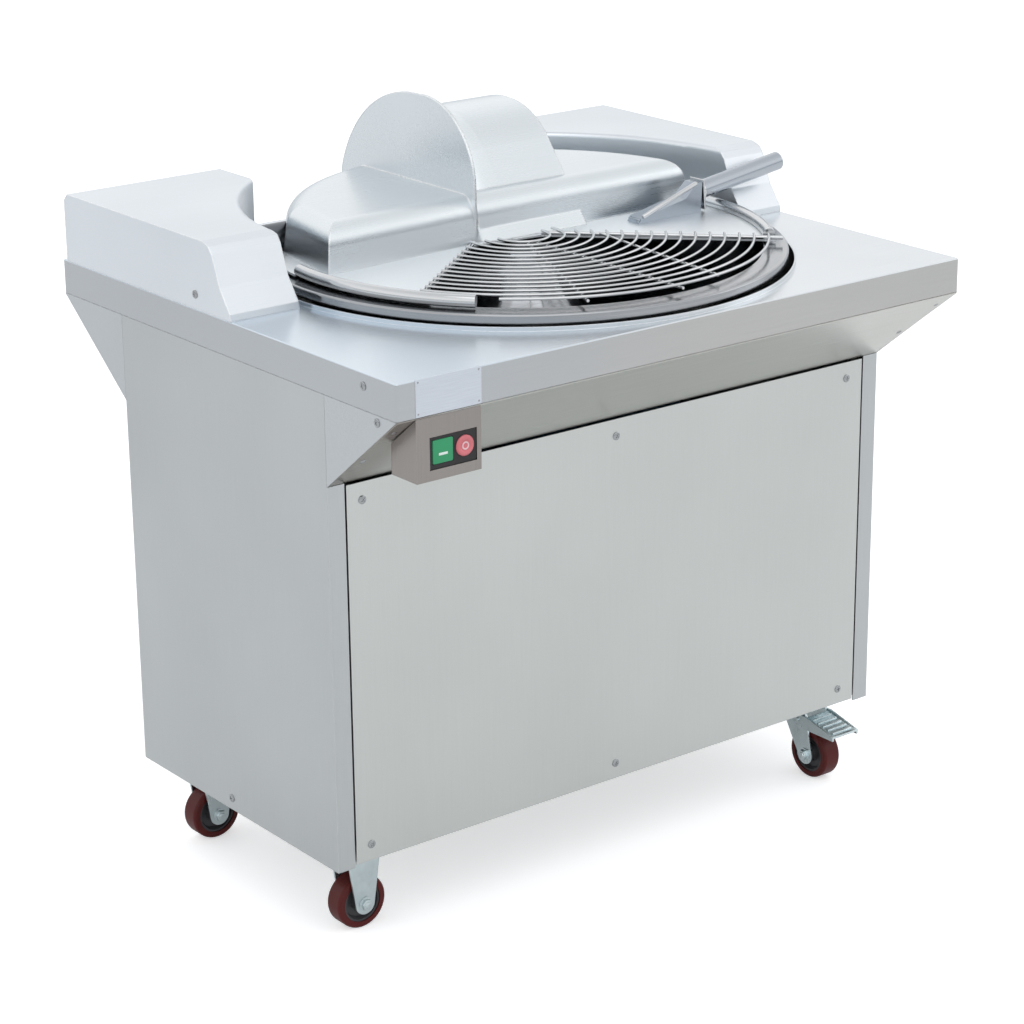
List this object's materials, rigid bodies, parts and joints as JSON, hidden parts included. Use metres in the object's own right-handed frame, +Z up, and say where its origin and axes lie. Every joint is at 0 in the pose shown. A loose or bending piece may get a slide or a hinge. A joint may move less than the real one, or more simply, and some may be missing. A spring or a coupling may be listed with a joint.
{
  "type": "meat bowl cutter",
  "caption": "Stainless floor-standing bowl cutter: cabinet on castors, turning ring bowl, sickle knives under an arched cover, hinged lid with wire guard.",
  "frame": {"origin": "on the floor under the middle of the cabinet", "axes": "+X to the operator's right along the worktop, +Y to the back, +Z up"},
  "size_m": [1.004, 0.832, 1.089],
  "materials": {
    "worktop_steel": "brushed",
    "panel_steel": "brushed",
    "hidden_steel": "satin",
    "fasteners": "satin",
    "housing_steel": "satin",
    "switch_black": "matte",
    "start_green": "gloss",
    "stop_red": "gloss",
    "lid_steel": "satin",
    "wire": "polished",
    "bowl_steel": "polished",
    "shaft_steel": "polished",
    "knife_steel": "ground",
    "pulley_iron": "machined",
    "belt_rubber": "matte",
    "motor_paint": "satin",
    "castor_zinc": "zinc plated",
    "castor_hub": "satin",
    "castor_tyre": "satin"
  },
  "bodies": {
    "cabinet": {"worktop": "worktop_steel", "front_apron": "panel_steel", "rear_apron": "panel_steel", "left_side_panel": "panel_steel", "right_side_panel": "panel_steel", "front_panel": "panel_steel", "rear_panel": "panel_steel", "base_tray": "hidden_steel", "inner_frame": "hidden_steel", "cover_screws": "fasteners", "control_box": "panel_steel", "switch_body": "switch_black", "left_housing": "housing_steel", "right_housing": "housing_steel", "bearing_pedestal": "hidden_steel", "bearing_tube": "shaft_steel", "spindle_bearings": "shaft_steel", "drive_belt": "belt_rubber", "knife_motor": "motor_paint", "motor_bracket": "hidden_steel", "bowl_bearing_housing": "motor_paint", "gearbox": "motor_paint", "bowl_motor": "motor_paint", "hinge_lugs": "fasteners", "hinge_pins": "fasteners", "rigid_forks": "castor_zinc", "swivel_plates": "castor_zinc"},
    "knife_head": {"spindle": "shaft_steel", "spindle_pulley": "pulley_iron", "knife_1": "knife_steel", "knife_2": "knife_steel", "knife_3": "knife_steel", "knife_clamps": "knife_steel", "knife_nut": "fasteners"},
    "motor_rotor": {"motor_pulley": "pulley_iron"},
    "bowl_set": {"bowl": "bowl_steel", "bowl_cap": "bowl_steel", "bowl_shaft": "shaft_steel"},
    "lid": {"lid_plate": "lid_steel", "lid_hood": "lid_steel", "lid_edge_tube": "lid_steel", "guard_rings": "wire", "guard_bars": "wire", "handle_bracket": "lid_steel", "handle_grip": "lid_steel"},
    "start_push": {"start_button": "start_green"},
    "stop_push": {"stop_button": "stop_red"},
    "front_left_wheel": {"front_left_hub": "castor_hub", "front_left_tyre": "castor_tyre"},
    "rear_left_wheel": {"rear_left_hub": "castor_hub", "rear_left_tyre": "castor_tyre"},
    "front_right_wheel": {"front_right_hub": "castor_hub", "front_right_tyre": "castor_tyre"},
    "rear_right_wheel": {"rear_right_hub": "castor_hub", "rear_right_tyre": "castor_tyre"},
    "front_right_swivel": {"front_right_fork": "castor_zinc"},
    "rear_right_swivel": {"rear_right_fork": "castor_zinc"},
    "front_right_brake": {"front_right_brake_pedal": "castor_zinc"},
    "rear_right_brake": {"rear_right_brake_pedal": "castor_zinc"}
  },
  "joints": [
    {"name": "knife_spin", "type": "hinge", "parent": "cabinet", "child": "knife_head", "pos_m": [0, 0.186, 0.906], "axis": [1, 0, 0], "continuous": true},
    {"name": "motor_spin", "type": "hinge", "parent": "cabinet", "child": "motor_rotor", "pos_m": [-0.44, 0.085, 0.35], "axis": [1, 0, 0], "continuous": true},
    {"name": "bowl_spin", "type": "hinge", "parent": "cabinet", "child": "bowl_set", "pos_m": [0.016, -0.012, 0.8], "axis": [0, 0, 1], "continuous": true},
    {"name": "lid_hinge", "type": "hinge", "parent": "cabinet", "child": "lid", "pos_m": [0.016, 0.395, 0.9], "axis": [-1, 0, 0], "range_deg": [0, 90]},
    {"name": "start_press", "type": "slide", "parent": "cabinet", "child": "start_push", "axis": [0, 1, 0], "range_m": [0, 0.003], "stiffness_N_per_m": 300},
    {"name": "stop_press", "type": "slide", "parent": "cabinet", "child": "stop_push", "axis": [0, 1, 0], "range_m": [0, 0.003], "stiffness_N_per_m": 300},
    {"name": "front_left_roll", "type": "hinge", "parent": "cabinet", "child": "front_left_wheel", "pos_m": [-0.422, -0.18, 0.04], "axis": [0, 1, 0], "continuous": true},
    {"name": "front_right_swivel", "type": "hinge", "parent": "cabinet", "child": "front_right_swivel", "pos_m": [0.436, -0.18, 0.12], "axis": [0, 0, 1], "continuous": true},
    {"name": "front_right_roll", "type": "hinge", "parent": "front_right_swivel", "child": "front_right_wheel", "pos_m": [0.436, -0.21, 0.04], "axis": [1, 0, 0], "continuous": true},
    {"name": "front_right_brake", "type": "hinge", "parent": "front_right_swivel", "child": "front_right_brake", "pos_m": [0.436, -0.196, 0.096], "axis": [1, 0, 0], "range_deg": [0, 12], "stiffness_Nm_per_rad": 2},
    {"name": "rear_left_roll", "type": "hinge", "parent": "cabinet", "child": "rear_left_wheel", "pos_m": [-0.422, 0.2, 0.04], "axis": [0, 1, 0], "continuous": true},
    {"name": "rear_right_swivel", "type": "hinge", "parent": "cabinet", "child": "rear_right_swivel", "pos_m": [0.436, 0.2, 0.12], "axis": [0, 0, 1], "continuous": true},
    {"name": "rear_right_roll", "type": "hinge", "parent": "rear_right_swivel", "child": "rear_right_wheel", "pos_m": [0.436, 0.17, 0.04], "axis": [1, 0, 0], "continuous": true},
    {"name": "rear_right_brake", "type": "hinge", "parent": "rear_right_swivel", "child": "rear_right_brake", "pos_m": [0.436, 0.184, 0.096], "axis": [1, 0, 0], "range_deg": [0, 12], "stiffness_Nm_per_rad": 2}
  ],
  "couplings": [
    {"joint": "motor_spin", "follows": "knife_spin", "ratio": 0.72}
  ]
}
